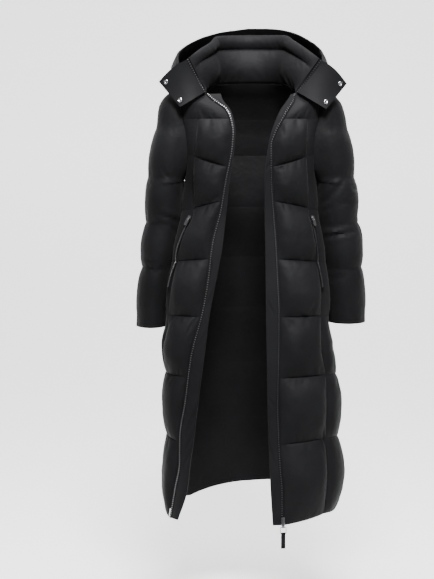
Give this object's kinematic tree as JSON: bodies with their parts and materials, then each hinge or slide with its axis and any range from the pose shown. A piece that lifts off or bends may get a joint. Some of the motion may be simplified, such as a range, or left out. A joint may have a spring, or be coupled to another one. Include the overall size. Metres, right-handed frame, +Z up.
{
  "type": "long puffer coat",
  "caption": "Long quilted puffer coat worn open: hood thrown back, stand collar, snap neck flaps, front zip with inner guards, slant zip pockets and long sleeves.",
  "frame": {"origin": "middle of the neck opening, where the wearer's neck and shoulders hold the coat", "axes": "+Z up, -Y the front, +X the wearer's left"},
  "size_m": [0.606, 0.4044, 1.3378],
  "materials": {
    "shell": "matte nylon with a soft sheen",
    "placket": "smooth matte nylon",
    "zip_tape": "woven tape",
    "ribbon": "woven ribbon",
    "metal": "polished plated metal"
  },
  "bodies": {
    "coat": {"back_centre": "shell", "back_right": "shell", "back_left": "shell", "back_yoke": "shell", "collar": "shell", "hood_back": "shell", "front_right": "shell", "side_right": "shell", "front_yoke_right": "shell", "sleeve_right": "shell", "hood_right": "shell", "front_left": "shell", "side_left": "shell", "front_yoke_left": "shell", "sleeve_left": "shell", "hood_left": "shell", "wind_guard_right": "placket", "neck_flap_right": "placket", "wind_guard_left": "placket", "neck_flap_left": "placket", "zip_right": "zip_tape", "collar_zip_right": "zip_tape", "pocket_zip_right": "zip_tape", "zip_left": "zip_tape", "collar_zip_left": "zip_tape", "pocket_zip_left": "zip_tape", "snap_right_lower": "metal", "snap_right_upper": "metal", "snap_left_lower": "metal", "snap_left_upper": "metal", "zip_slider": "metal", "zip_retainer": "metal", "zip_pin": "metal", "pocket_slider_right": "metal", "pocket_slider_left": "metal"},
    "main_pull": {"pull_link": "metal", "pull_ring": "metal", "pull_ribbon": "ribbon"},
    "pocket_pull_right": {"pocket_pull_right": "metal"},
    "pocket_pull_left": {"pocket_pull_left": "metal"}
  },
  "joints": [
    {"name": "main_pull_hinge", "type": "hinge", "parent": "coat", "child": "main_pull", "pos_m": [0.08442, -0.14164, -1.09814], "axis": [-0.9878, -0.1555, 0], "range_deg": [0, 120]},
    {"name": "pocket_pull_right_hinge", "type": "hinge", "parent": "coat", "child": "pocket_pull_right", "pos_m": [-0.15796, -0.08212, -0.32816], "axis": [-0.7176, 0.6188, 0.3197], "range_deg": [0, 120]},
    {"name": "pocket_pull_left_hinge", "type": "hinge", "parent": "coat", "child": "pocket_pull_left", "pos_m": [0.15974, -0.07872, -0.32858], "axis": [-0.7533, -0.6522, -0.085], "range_deg": [0, 120]}
  ]
}
